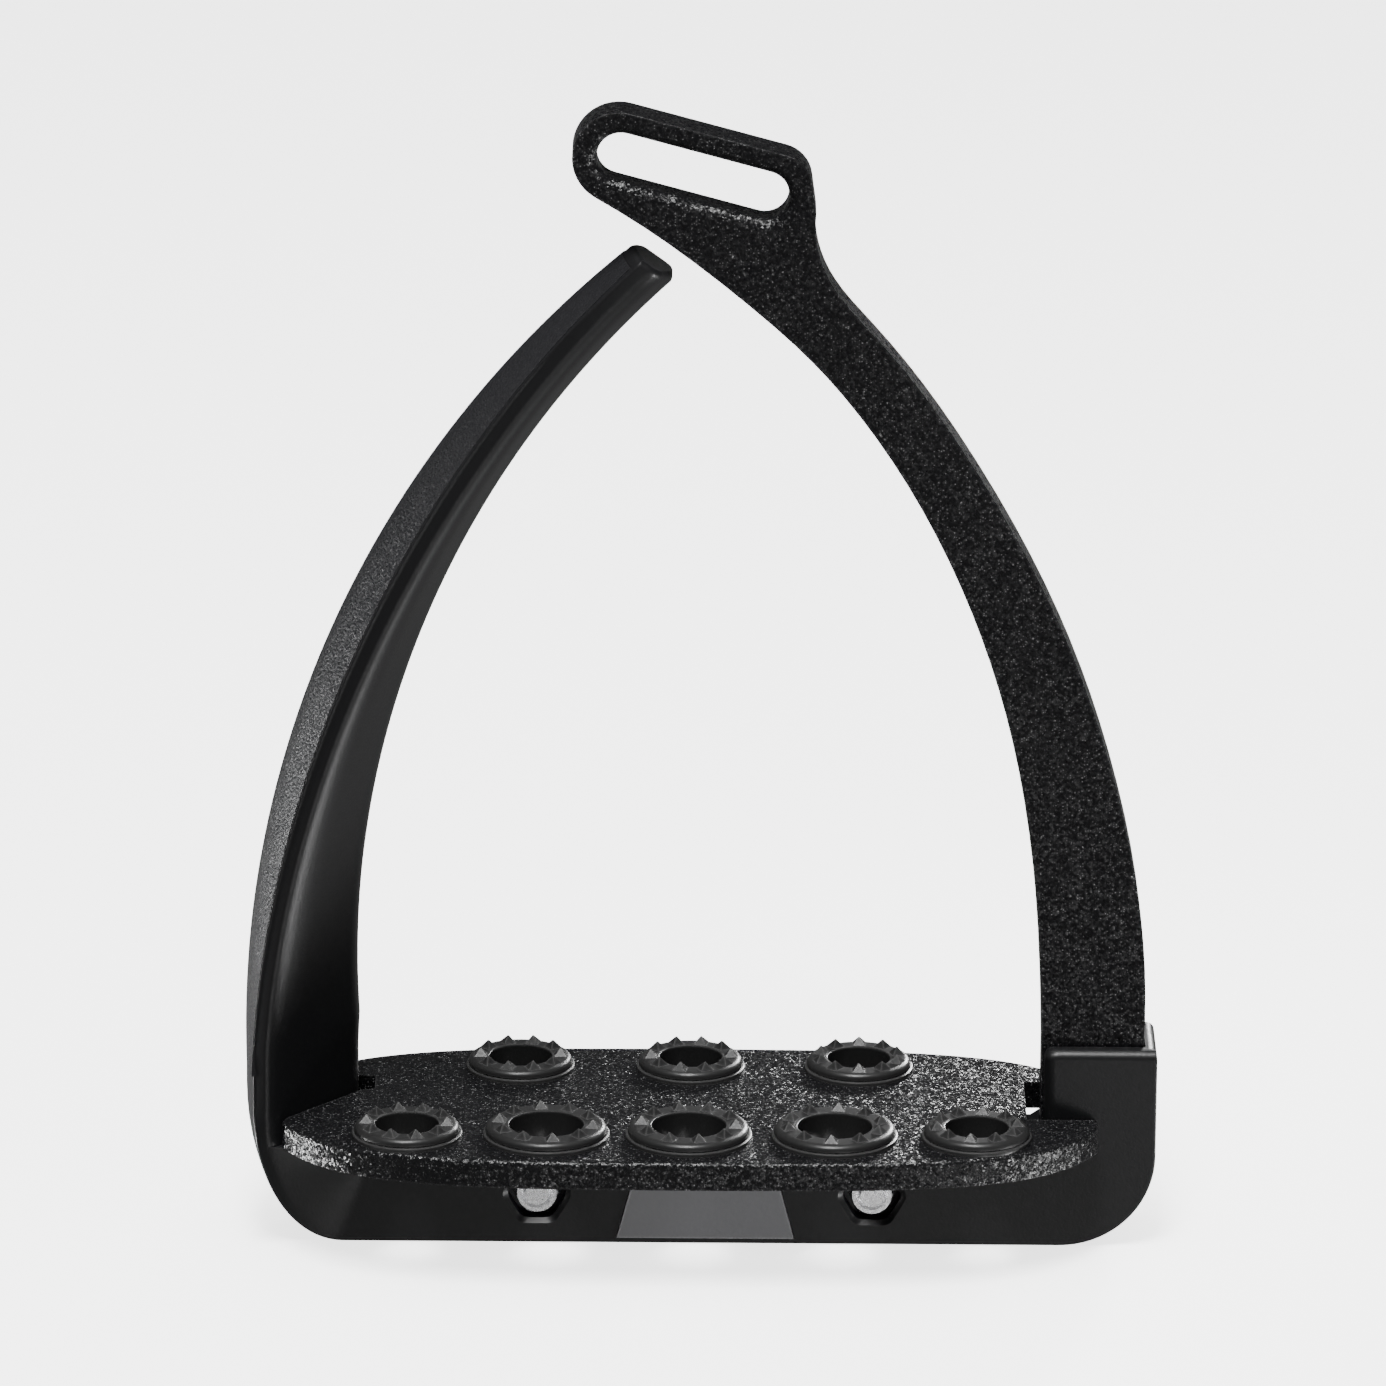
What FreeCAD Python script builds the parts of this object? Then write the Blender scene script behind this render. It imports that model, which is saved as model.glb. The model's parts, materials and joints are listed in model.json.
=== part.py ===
import FreeCAD, Part
import math
import os

os.makedirs("parts", exist_ok=True)

# Frame: +X towards the rigid arm, +Y towards the back, +Z up.
# Origin at the middle of the underside.

HALF_WIDTH = 79.5

# Tread plate
TREAD_MID_X = -1.75
TREAD_TOP = 23.6
TREAD_THICKNESS = 4.9
TREAD_BOTTOM = TREAD_TOP - TREAD_THICKNESS
TREAD_HALF_DEPTH = 29.7
TREAD_HALF_LENGTH = 70.9
TREAD_END_HALF = 9.6
TREAD_EDGE_ROUND = 0.8

# Base housing
BASE_FRONT = -6.0
BASE_BACK = 11.5
BASE_TOP = TREAD_BOTTOM
RIGHT_CORNER_RADIUS = 16.6
LEFT_CORNER_WIDTH = 17.0
LEFT_CORNER_HEIGHT = 27.0
SOCKET_INNER_X = 59.8
SOCKET_TOP = 36.0
SOCKET_OPEN_X = 59.4
SOCKET_NOTCH_X = 56.9

# Rigid inner arm
ARM_FRONT = -3.0
ARM_BACK = 5.0
ARM_FOOT_FRONT = 0.0
ARM_BOTTOM = 5.0
FOOT_TOP = 14.0
FOOT_END_X = 22.0
FOOT_JOIN_X = 61.0
ARM_OUTER_X = 77.15
ARM_FOOT_RADIUS = 12.0
EYE_X = -2.35
EYE_Z = 191.9
EYE_TILT = -15.0
EYE_END_X = -14.93
EYE_END_Z = 195.17
EYE_END_RADIUS = 8.0
EYE_UNDERSIDE_ANGLE = -32.0
EYE_SHOULDER_RADIUS = 6.0
SLOT_LENGTH = 33.6
SLOT_HEIGHT = 8.2
SLOT_BEVEL = 1.0
SLOT_RIM_HALF_LENGTH = 17.0
SLOT_RIM_HALF_HEIGHT = 7.0

# Flexible outer arm
OUTER_ARC_X = 105.45
OUTER_ARC_Z = 36.7
OUTER_ARC_RADIUS = 184.7
INNER_ARC_X = 111.75
INNER_ARC_Z = 47.3
INNER_ARC_RADIUS = 171.8
ARM_TIP_ANGLE = 131.45
SECTION_X = 109.0
SECTION_Z = 42.0
SECTION_COUNT = 7
ROOT_FRONT = -9.7
ROOT_BACK = 12.5
ROOT_SLANT_BACK = 7.0
TIP_FRONT = -4.9
TIP_BACK = 7.0
TIP_SLANT_BACK = 1.0
ARM_REACH = 1.03
TIP_END_X = -12.0
TIP_END_Z = 178.4
TIP_END_SLOPE = 34.2
TIP_CUT_SIZE = 20.0
RIDGE_WIDTH = 3.8
ROOT_CREASE = 1.8
TIP_CREASE = 2.0
CREASE_BULGE = 3.5
COVER_THICKNESS = 1.2
COVER_EDGE = 0.4
CROWN = 2.0
COVER_START = 0.02
COVER_END = 0.99

# Flexing place at the root of the outer arm
HINGE_X = -69.5
HINGE_Z = 36.7
KNUCKLE_RADIUS = 9.5
KNUCKLE_CLEARANCE = 0.35
ROOT_RIGHT_X = HINGE_X + KNUCKLE_RADIUS
ROOT_RIM_Z = 31.2
ROOT_FOOT_BEND_X = -70.0
ROOT_NOTCH_GAP = 0.3
ROOT_NOTCH_BACK_GAP = 1.6
ROOT_NOTCH_END_X = -57.1

# Spring strip inside the outer arm
SPRING_FRONT = 1.5
SPRING_BACK = 7.0
SPRING_HALF_THICKNESS = 1.0
SPRING_TIP_ANGLE = 137.0
SPRING_FOOT_BOTTOM = 5.0
SPRING_FOOT_TOP = 13.0
SPRING_FOOT_LEFT = -70.5
SPRING_POST_WIDTH = 4.0
SPRING_POST_TOP = 24.0
SPRING_FOOT_RIGHT = -19.0
SPRING_FOOT_FRONT = 0.5
SPRING_POST_OVERLAP = 1.0

# Cross bolts, nuts and recesses
BOLT_XS = {"left": -28.4, "right": 30.1}
BOLT_Z = 9.1
BOLT_RADIUS = 2.0
BOLT_CLEARANCE = 0.05
BOLT_TIP_Y = -6.2
BOLT_HEAD_RADIUS = 3.6
BOLT_HEAD_HEIGHT = 1.6
BOLT_HEAD_SINK = 0.1
BOLT_HEAD_CLEARANCE = 0.3
BOLT_SOCKET_FLATS = 2.5
BOLT_SOCKET_DEPTH = 1.0
NUT_FLATS = 7.0
NUT_FRONT = -5.6
NUT_BACK = -2.8
NUT_CHAMFER_START = 3.7
NUT_CHAMFER_SLOPE = 0.6
RECESS_FLATS = 9.2

# Lugs under the tread plate
LUG_HALF_WIDTH = 6.0
LUG_FRONT = 6.2
LUG_BACK = 8.6
LUG_BOTTOM = 4.5
LUG_OVERLAP = 0.5
LUG_CLEARANCE = 0.1

# Badge
BADGE_MID_X = 1.05
BADGE_BOTTOM = 1.1
BADGE_TOP = 17.4
BADGE_HALF_BOTTOM = 15.5
BADGE_HALF_TOP = 11.2
BADGE_DEPTH = 0.6
BADGE_PROUD = 0.3

# Cleats: name -> (x, y, turn of the first point, sizes)
# Sizes: flange radius, hole radius, shank radius, retainer radius
LARGE_CLEAT = (11.0, 6.4, 7.6, 8.6)
SMALL_CLEAT = (9.6, 5.45, 6.5, 7.4)
FRONT_ROW_Y = -15.9
BACK_ROW_Y = 19.3
CLEATS = {
    "front_1": (-50.8, FRONT_ROW_Y, -76.0, SMALL_CLEAT),
    "front_2": (-26.65, FRONT_ROW_Y, -82.0, LARGE_CLEAT),
    "front_3": (-1.95, FRONT_ROW_Y, -78.0, LARGE_CLEAT),
    "front_4": (23.35, FRONT_ROW_Y, -95.0, LARGE_CLEAT),
    "front_5": (47.95, FRONT_ROW_Y, -100.0, SMALL_CLEAT),
    "back_1": (-31.7, BACK_ROW_Y, -71.0, SMALL_CLEAT),
    "back_2": (-1.7, BACK_ROW_Y, -69.0, SMALL_CLEAT),
    "back_3": (27.95, BACK_ROW_Y, -91.0, SMALL_CLEAT),
}
CLEAT_HEIGHT = 2.2
CLEAT_LIP_HEIGHT = 0.8
CLEAT_STEP = 0.5
CLEAT_BEVEL = 0.9
SHANK_CLEARANCE = 0.05
SHANK_BELOW = 1.3
RETAINER_THICKNESS = 1.0
PYRAMID_COUNT = 10
PYRAMID_HALF_BASE = 1.1
PYRAMID_HALF_TOP = 0.12
PYRAMID_HEIGHT = 1.15

Y_AXIS = FreeCAD.Vector(0, 1, 0)
Z_AXIS = FreeCAD.Vector(0, 0, 1)


def vec(x, y, z):
    return FreeCAD.Vector(x, y, z)


def block(x0, x1, y0, y1, z0, z1):
    return Part.makeBox(x1 - x0, y1 - y0, z1 - z0, vec(x0, y0, z0))


def cylinder_y(x, z, radius, y0, y1):
    return Part.makeCylinder(radius, y1 - y0, vec(x, y0, z), Y_AXIS)


def cylinder_z(x, y, radius, z0, z1):
    return Part.makeCylinder(radius, z1 - z0, vec(x, y, z0), Z_AXIS)


def prism_y(edges, y0, y1):
    """Extrude a closed outline drawn at y = 0 from y0 to y1."""
    face = Part.Face(Part.Wire(edges))
    face.translate(vec(0, y0, 0))
    return face.extrude(vec(0, y1 - y0, 0))


def spline(points):
    curve = Part.BSplineCurve()
    curve.interpolate(points)
    return curve.toShape()


def line(a, b):
    return Part.makeLine(a, b)


def arc(a, b, c):
    return Part.Arc(a, b, c).toShape()


def hexagon_y(x, z, flats, y0, y1):
    """Hexagonal prism along Y with flats at its top and bottom."""
    radius = flats / math.sqrt(3.0)
    corners = []
    for i in range(7):
        angle = math.radians(60.0 * i)
        corners.append(vec(x + radius * math.cos(angle), 0, z + radius * math.sin(angle)))
    return prism_y([line(p, q) for p, q in zip(corners, corners[1:])], y0, y1)


def edges_along_y(shape, x, z, reach):
    """Straight edges parallel to Y that pass within reach of (x, z)."""
    found = []
    for edge in shape.Edges:
        box = edge.BoundBox
        if box.XLength < 0.01 and box.ZLength < 0.01:
            if math.hypot(box.XMin - x, box.ZMin - z) < reach:
                found.append(edge)
    return found


# Flexible outer arm ------------------------------------------------------


def ray_to_circle(angle, cx, cz, radius):
    """Distance from the section centre to a circle along a ray."""
    dx, dz = math.cos(angle), math.sin(angle)
    ox, oz = SECTION_X - cx, SECTION_Z - cz
    b = ox * dx + oz * dz
    return -b + math.sqrt(b * b - (ox * ox + oz * oz - radius * radius))


def root_angle():
    return math.pi - math.atan2(HINGE_Z - SECTION_Z, SECTION_X - HINGE_X)


def blend(a, b, share):
    return a + (b - a) * share


def arm_limits(share):
    """Angle, outer and inner distance of the arm at a share of its length."""
    angle = blend(root_angle(), math.radians(ARM_TIP_ANGLE), share)
    outer = ray_to_circle(angle, OUTER_ARC_X, OUTER_ARC_Z, OUTER_ARC_RADIUS)
    inner = ray_to_circle(angle, INNER_ARC_X, INNER_ARC_Z, INNER_ARC_RADIUS)
    return angle, outer, inner


def section_point(angle, distance, y):
    x = SECTION_X + distance * math.cos(angle)
    z = SECTION_Z + distance * math.sin(angle)
    return vec(x, y, z)


def outer_face(share):
    """Back-to-front (depth below the crest, y, cover thickness) points of the outer face."""
    front = blend(ROOT_FRONT, TIP_FRONT, share)
    back = blend(ROOT_BACK, TIP_BACK, share)
    crease = blend(ROOT_CREASE, TIP_CREASE, share) + CREASE_BULGE * math.sin(math.pi * share)
    points = []
    for step in (1.0, 0.5, 0.0, -0.5, -1.0):
        depth = CROWN * step ** 2 if step > 0 else crease * abs(step) ** 1.5
        y = (front + back) / 2.0 + step * (back - front) / 2.0
        cover = blend(COVER_THICKNESS, COVER_EDGE, step ** 2)
        points.append((depth, y, cover))
    return points


def front_ridge(share, width):
    """(depth, y) points of the ridge along the front and of the slanted inner side."""
    crease, front, _ = outer_face(share)[-1]
    slant = blend(ROOT_SLANT_BACK, TIP_SLANT_BACK, share)
    back = blend(ROOT_BACK, TIP_BACK, share)
    return [(crease + RIDGE_WIDTH, front), (width, slant), (width, back)]


def arm_section(share):
    angle, outer, inner = arm_limits(share)
    points = [(depth + cover, y) for depth, y, cover in outer_face(share)]
    points += front_ridge(share, outer - inner)
    corners = [section_point(angle, outer - depth, y) for depth, y in points]
    return Part.makePolygon(corners + corners[:1])


def cover_section(share):
    angle, outer, _ = arm_limits(share)
    face = outer_face(share)
    high = [section_point(angle, outer - depth, y) for depth, y, _ in face]
    low = [section_point(angle, outer - depth - cover, y) for depth, y, cover in face]
    corners = high + list(reversed(low))
    return Part.makePolygon(corners + corners[:1])


def loft(section, first, last):
    wires = []
    for i in range(SECTION_COUNT):
        wires.append(section(blend(first, last, i / (SECTION_COUNT - 1))))
    return Part.makeLoft(wires, True, False)


def spring_blade():
    """Curved strip in the middle of the arm's thickness."""
    low = []
    high = []
    last = (math.radians(SPRING_TIP_ANGLE) - root_angle()) / (
        math.radians(ARM_TIP_ANGLE) - root_angle()
    )
    for share in (0.0, last / 2.0, last):
        angle, outer, inner = arm_limits(share)
        middle = (outer + inner) / 2.0
        low.append(section_point(angle, middle - SPRING_HALF_THICKNESS, 0))
        high.append(section_point(angle, middle + SPRING_HALF_THICKNESS, 0))
    outline = [
        arc(*low),
        line(low[2], high[2]),
        arc(*reversed(high)),
        line(high[0], low[0]),
    ]
    return prism_y(outline, SPRING_FRONT, SPRING_BACK)


def knuckle():
    """Rounded lower end of the arm, turning in the cup of the base."""
    drum = cylinder_y(HINGE_X, HINGE_Z, KNUCKLE_RADIUS, ROOT_FRONT, ROOT_BACK)
    return drum.common(root_section_prism(0.0, HINGE_Z))


def beyond_tip():
    """Everything past the slanted end of the arm."""
    cutter = block(-TIP_CUT_SIZE, TIP_CUT_SIZE, ROOT_FRONT, ROOT_BACK, 0, TIP_CUT_SIZE)
    cutter.rotate(vec(0, 0, 0), Y_AXIS, TIP_END_SLOPE)
    cutter.translate(vec(TIP_END_X, 0, TIP_END_Z))
    return cutter


def outer_arm():
    body = loft(arm_section, 0.0, ARM_REACH).cut(beyond_tip())
    body = body.fuse(knuckle()).removeSplitter()
    return body.cut(spring_blade())


def outer_arm_cover():
    return loft(cover_section, COVER_START, COVER_END)


# Base housing ------------------------------------------------------------


def upright_prism(outline, z0, z1):
    """Extrude a closed (x, y) outline from z0 to z1."""
    corners = [vec(x, y, z0) for x, y in outline]
    face = Part.Face(Part.makePolygon(corners + corners[:1]))
    return face.extrude(vec(0, 0, z1 - z0))


def root_outer_face():
    """The arm's outer face at its root, as (x, y) points from back to front."""
    return [(depth - HALF_WIDTH, y) for depth, y, _ in outer_face(0.0)]


def root_section_prism(z0, z1):
    """The arm's own cross-section, carried straight down to the base."""
    ridge = front_ridge(0.0, ROOT_RIGHT_X + HALF_WIDTH)
    outline = root_outer_face() + [(depth - HALF_WIDTH, y) for depth, y in ridge]
    return upright_prism(outline, z0, z1)


def root_foot_prism():
    """Lower part of the root, running smoothly into the bar's front."""
    outline = root_outer_face() + [
        (ROOT_FOOT_BEND_X, ROOT_FRONT), (ROOT_RIGHT_X, BASE_FRONT), (ROOT_RIGHT_X, BASE_BACK),
    ]
    return upright_prism(outline, 0, BASE_TOP)


def side_outline():
    """Outline of the base seen from the front."""
    left = -HALF_WIDTH
    right = HALF_WIDTH
    corner = math.sqrt(0.5)
    a = vec(left + LEFT_CORNER_WIDTH, 0, 0)
    b = vec(right - RIGHT_CORNER_RADIUS, 0, 0)
    bend = vec(
        right - RIGHT_CORNER_RADIUS * (1 - corner), 0, RIGHT_CORNER_RADIUS * (1 - corner)
    )
    c = vec(right, 0, RIGHT_CORNER_RADIUS)
    d = vec(right, 0, SOCKET_TOP)
    e = vec(SOCKET_INNER_X, 0, SOCKET_TOP)
    f = vec(SOCKET_INNER_X, 0, BASE_TOP)
    g = vec(ROOT_RIGHT_X, 0, BASE_TOP)
    h = vec(ROOT_RIGHT_X, 0, ROOT_RIM_Z)
    i = vec(left, 0, ROOT_RIM_Z)
    j = vec(left, 0, LEFT_CORNER_HEIGHT)
    ellipse = Part.Ellipse(
        vec(left + LEFT_CORNER_WIDTH, 0, 0),
        vec(left, 0, LEFT_CORNER_HEIGHT),
        vec(left + LEFT_CORNER_WIDTH, 0, LEFT_CORNER_HEIGHT),
    )
    quarter = ellipse.toShape(0, math.pi / 2)
    return [
        line(a, b), arc(b, bend, c), line(c, d), line(d, e), line(e, f),
        line(f, g), line(g, h), line(h, i), line(i, j), quarter,
    ]


def eye_end_point(angle):
    """Point of the eye's round end where the edge's normal has this angle."""
    turn = math.radians(angle)
    return vec(
        EYE_END_X + EYE_END_RADIUS * math.cos(turn), 0, EYE_END_Z + EYE_END_RADIUS * math.sin(turn)
    )


def arm_outline():
    """Outline of the rigid arm with its eye, seen from the front."""
    top = eye_end_point(90.0 + EYE_TILT)
    end = eye_end_point(180.0 + EYE_TILT)
    under = eye_end_point(270.0 + EYE_UNDERSIDE_ANGLE)
    inner = [
        under, vec(-7.0, 0, 180.6), vec(7.1, 0, 169.6), vec(17.8, 0, 159.9),
        vec(28.8, 0, 146.7), vec(43.9, 0, 120.0), vec(53.1, 0, 93.0), vec(57.7, 0, 65.7),
        vec(SOCKET_OPEN_X, 0, SOCKET_TOP),
    ]
    outer = [
        vec(ARM_OUTER_X, 0, SOCKET_TOP), vec(76.5, 0, 57.6), vec(71.1, 0, 85.0),
        vec(61.5, 0, 112.2), vec(47.2, 0, 139.1), vec(29.0, 0, 163.9), vec(21.6, 0, 172.9),
        vec(18.65, 0, 185.8),
    ]
    bottom_right = vec(ARM_OUTER_X, 0, ARM_BOTTOM)
    bottom_left = vec(SOCKET_OPEN_X, 0, ARM_BOTTOM)
    shoulder = shoulder_corner()
    return [
        spline(inner), line(inner[-1], bottom_left), line(bottom_left, bottom_right),
        line(bottom_right, outer[0]), spline(outer), line(outer[-1], shoulder),
        line(shoulder, top), arc(top, end, under),
    ]


def shoulder_corner():
    return vec(17.4, 0, 194.8)


def eye_slot(y0, y1):
    half = (SLOT_LENGTH - SLOT_HEIGHT) / 2.0
    radius = SLOT_HEIGHT / 2.0
    slot = block(-half, half, y0, y1, -radius, radius)
    for x in (-half, half):
        slot = slot.fuse(cylinder_y(x, 0, radius, y0, y1))
    slot = slot.removeSplitter()
    slot.rotate(vec(0, 0, 0), Y_AXIS, -EYE_TILT)
    slot.translate(vec(EYE_X, 0, EYE_Z))
    return slot


def arm_foot():
    return block(FOOT_END_X, FOOT_JOIN_X, ARM_FOOT_FRONT, ARM_BACK, ARM_BOTTOM, FOOT_TOP)


def arm_body():
    body = prism_y(arm_outline(), ARM_FRONT, ARM_BACK)
    shoulder = shoulder_corner()
    edges = edges_along_y(body, shoulder.x, shoulder.z, 0.5)
    body = body.makeFillet(EYE_SHOULDER_RADIUS, edges)
    # the lower outer corner follows the round corner of the base
    edges = edges_along_y(body, ARM_OUTER_X, ARM_BOTTOM, 0.5)
    return body.makeFillet(ARM_FOOT_RADIUS, edges)


def inner_arm():
    body = arm_body().fuse(arm_foot()).removeSplitter()
    body = body.cut(eye_slot(ARM_FRONT - 1, ARM_BACK + 1))
    body = body.makeChamfer(SLOT_BEVEL, slot_rim_edges(body))
    return body.cut(bolt_hole("right"))


def slot_rim_edges(body):
    """Front and back rims of the eye slot."""
    found = []
    for edge in body.Edges:
        box = edge.BoundBox
        middle = box.Center
        level = abs(middle.z - EYE_Z) < SLOT_RIM_HALF_HEIGHT
        reach = max(EYE_X - box.XMin, box.XMax - EYE_X)
        if box.YLength < 0.01 and level and reach < SLOT_RIM_HALF_LENGTH:
            found.append(edge)
    return found


def bolt_hole(side):
    radius = BOLT_RADIUS + BOLT_CLEARANCE
    return cylinder_y(BOLT_XS[side], BOLT_Z, radius, BASE_FRONT - 1, BASE_BACK + 1)


def nut_recess(side):
    x = BOLT_XS[side]
    return hexagon_y(x, BOLT_Z, RECESS_FLATS, BASE_FRONT - 1, NUT_BACK)


def head_recess(side):
    front = BASE_BACK - BOLT_HEAD_HEIGHT - BOLT_HEAD_SINK
    radius = BOLT_HEAD_RADIUS + BOLT_HEAD_CLEARANCE
    return cylinder_y(BOLT_XS[side], BOLT_Z, radius, front, BASE_BACK + 1)


def lug(side, gap):
    x = BOLT_XS[side]
    half = LUG_HALF_WIDTH + gap
    front = LUG_FRONT - gap
    back = LUG_BACK + gap
    return block(x - half, x + half, front, back, LUG_BOTTOM - gap, TREAD_BOTTOM + LUG_OVERLAP)


def spring_foot_body():
    return block(
        SPRING_FOOT_LEFT, SPRING_FOOT_RIGHT, SPRING_FOOT_FRONT, ARM_BACK,
        SPRING_FOOT_BOTTOM, SPRING_FOOT_TOP,
    )


def spring_core_foot():
    post = block(
        SPRING_FOOT_LEFT, SPRING_FOOT_LEFT + SPRING_POST_WIDTH, SPRING_FRONT, ARM_BACK,
        SPRING_FOOT_TOP - SPRING_POST_OVERLAP, SPRING_POST_TOP,
    )
    return spring_foot_body().fuse(post).removeSplitter()


def bar_body():
    """The bar and the socket, without the root of the flexible arm."""
    bar = block(-HALF_WIDTH, HALF_WIDTH, BASE_FRONT, BASE_BACK, 0, BASE_TOP)
    socket = block(SOCKET_INNER_X, HALF_WIDTH, BASE_FRONT, BASE_BACK, 0, SOCKET_TOP)
    return prism_y(side_outline(), BASE_FRONT, BASE_BACK).common(bar.fuse(socket))


def root_body():
    root = root_section_prism(BASE_TOP, ROOT_RIM_Z).fuse(root_foot_prism())
    return prism_y(side_outline(), ROOT_FRONT, ROOT_BACK).common(root)


def base_housing():
    body = bar_body().fuse(root_body()).removeSplitter()
    cup = cylinder_y(
        HINGE_X, HINGE_Z, KNUCKLE_RADIUS + KNUCKLE_CLEARANCE, ROOT_FRONT - 1, ROOT_BACK + 1
    )
    body = body.cut(cup)
    body = body.cut(arm_body()).cut(arm_foot()).cut(spring_core_foot())
    for side in BOLT_XS:
        body = body.cut(bolt_hole(side)).cut(nut_recess(side))
        body = body.cut(head_recess(side)).cut(lug(side, LUG_CLEARANCE))
    return body.cut(badge_plate())


def badge_plate():
    corners = [
        vec(BADGE_MID_X - BADGE_HALF_BOTTOM, 0, BADGE_BOTTOM),
        vec(BADGE_MID_X + BADGE_HALF_BOTTOM, 0, BADGE_BOTTOM),
        vec(BADGE_MID_X + BADGE_HALF_TOP, 0, BADGE_TOP),
        vec(BADGE_MID_X - BADGE_HALF_TOP, 0, BADGE_TOP),
    ]
    edges = [line(p, q) for p, q in zip(corners, corners[1:] + corners[:1])]
    return prism_y(edges, BASE_FRONT - BADGE_PROUD, BASE_FRONT + BADGE_DEPTH)


# Tread plate -------------------------------------------------------------


def tread_outline():
    mid = TREAD_MID_X
    end = TREAD_HALF_LENGTH
    depth = TREAD_HALF_DEPTH

    def edge(sign):
        offsets = [
            (0.0, depth), (20.0, depth - 0.2), (38.0, depth - 1.2), (50.0, depth - 3.5),
            (60.0, depth - 7.7), (66.5, depth - 13.3), (end, TREAD_END_HALF),
        ]
        mirrored = [(-x, y) for x, y in reversed(offsets[1:])]
        return spline([vec(mid + x, sign * y, TREAD_BOTTOM) for x, y in mirrored + offsets])

    front = edge(-1)
    back = edge(1)
    sides = []
    for x in (mid - end, mid + end):
        low = vec(x, -TREAD_END_HALF, TREAD_BOTTOM)
        high = vec(x, TREAD_END_HALF, TREAD_BOTTOM)
        sides.append(line(low, high))
    return Part.Wire(Part.__sortEdges__([front, sides[1], back, sides[0]]))


def arm_notch():
    """Room for the flexible arm's root, with the slanted front."""
    gap = ROOT_NOTCH_GAP
    ridge_end = ROOT_CREASE + RIDGE_WIDTH - HALF_WIDTH
    outline = [
        (-HALF_WIDTH, ROOT_FRONT - gap),
        (ridge_end + gap, ROOT_FRONT - gap),
        (ROOT_RIGHT_X + 2 * gap, ROOT_SLANT_BACK - gap),
        (ROOT_NOTCH_END_X, ROOT_SLANT_BACK + gap),
        (ROOT_NOTCH_END_X, ROOT_BACK + ROOT_NOTCH_BACK_GAP),
        (-HALF_WIDTH, ROOT_BACK + ROOT_NOTCH_BACK_GAP),
    ]
    return upright_prism(outline, TREAD_BOTTOM - 1, TREAD_TOP + 1)


def socket_notch():
    front = BASE_FRONT - ROOT_NOTCH_GAP
    back = BASE_BACK + ROOT_NOTCH_BACK_GAP
    return block(SOCKET_NOTCH_X, HALF_WIDTH, front, back, TREAD_BOTTOM - 1, TREAD_TOP + 1)


def tread_plate():
    plate = Part.Face(tread_outline()).extrude(vec(0, 0, TREAD_THICKNESS))
    plate = plate.makeFillet(TREAD_EDGE_ROUND, top_rim_edges(plate))
    plate = plate.cut(arm_notch()).cut(socket_notch())
    for x, y, _, sizes in CLEATS.values():
        radius = sizes[2] + SHANK_CLEARANCE
        plate = plate.cut(cylinder_z(x, y, radius, TREAD_BOTTOM - 1, TREAD_TOP + 1))
    for side in BOLT_XS:
        plate = plate.fuse(lug(side, 0.0)).cut(bolt_hole(side))
    return plate.removeSplitter()


def top_rim_edges(plate):
    return [e for e in plate.Edges if e.BoundBox.ZMin > TREAD_TOP - 0.01]


# Cleats ------------------------------------------------------------------


def pyramid(radius, angle):
    """One grip point, square at its foot, standing on a cleat."""
    wires = []
    for half, z in ((PYRAMID_HALF_BASE, 0.0), (PYRAMID_HALF_TOP, PYRAMID_HEIGHT)):
        points = [
            vec(radius - half, -half, z), vec(radius + half, -half, z),
            vec(radius + half, half, z), vec(radius - half, half, z),
        ]
        wires.append(Part.makePolygon(points + points[:1]))
    point = Part.makeLoft(wires, True, True)
    point.rotate(vec(0, 0, 0), Z_AXIS, angle)
    return point


def cleat(x, y, turn, sizes):
    flange, hole, shank, _ = sizes
    lip = cylinder_z(0, 0, flange, 0, CLEAT_LIP_HEIGHT)
    ring = cylinder_z(0, 0, flange - CLEAT_STEP, 0, CLEAT_HEIGHT)
    top_edges = [e for e in ring.Edges if e.BoundBox.ZMin > CLEAT_LIP_HEIGHT]
    ring = ring.makeChamfer(CLEAT_BEVEL, top_edges)
    stem = cylinder_z(0, 0, shank, -TREAD_THICKNESS - SHANK_BELOW, 0)
    body = lip.fuse(ring).fuse(stem)
    middle = (flange - CLEAT_STEP - CLEAT_BEVEL + hole) / 2.0
    for i in range(PYRAMID_COUNT):
        grip = pyramid(middle, turn + 360.0 * i / PYRAMID_COUNT)
        grip.translate(vec(0, 0, CLEAT_HEIGHT))
        body = body.fuse(grip)
    bore = cylinder_z(0, 0, hole, -TREAD_THICKNESS - SHANK_BELOW - 1, CLEAT_HEIGHT + 3)
    body = body.cut(bore).removeSplitter()
    body.translate(vec(x, y, TREAD_TOP))
    return body


def retainer(x, y, sizes):
    _, _, shank, outer = sizes
    z0 = TREAD_BOTTOM - RETAINER_THICKNESS
    ring = cylinder_z(x, y, outer, z0, TREAD_BOTTOM)
    return ring.cut(cylinder_z(x, y, shank, z0 - 1, TREAD_BOTTOM + 1))


# Fasteners ---------------------------------------------------------------


def hex_nut(side):
    x = BOLT_XS[side]
    body = hexagon_y(x, BOLT_Z, NUT_FLATS, NUT_FRONT, NUT_BACK)
    reach = NUT_BACK - NUT_FRONT
    wide = NUT_CHAMFER_START + NUT_CHAMFER_SLOPE * reach
    cone = Part.makeCone(NUT_CHAMFER_START, wide, reach, vec(x, NUT_FRONT, BOLT_Z), Y_AXIS)
    body = body.common(cone)
    bore = cylinder_y(x, BOLT_Z, BOLT_RADIUS + BOLT_CLEARANCE, NUT_FRONT - 1, NUT_BACK + 1)
    return body.cut(bore)


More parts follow.
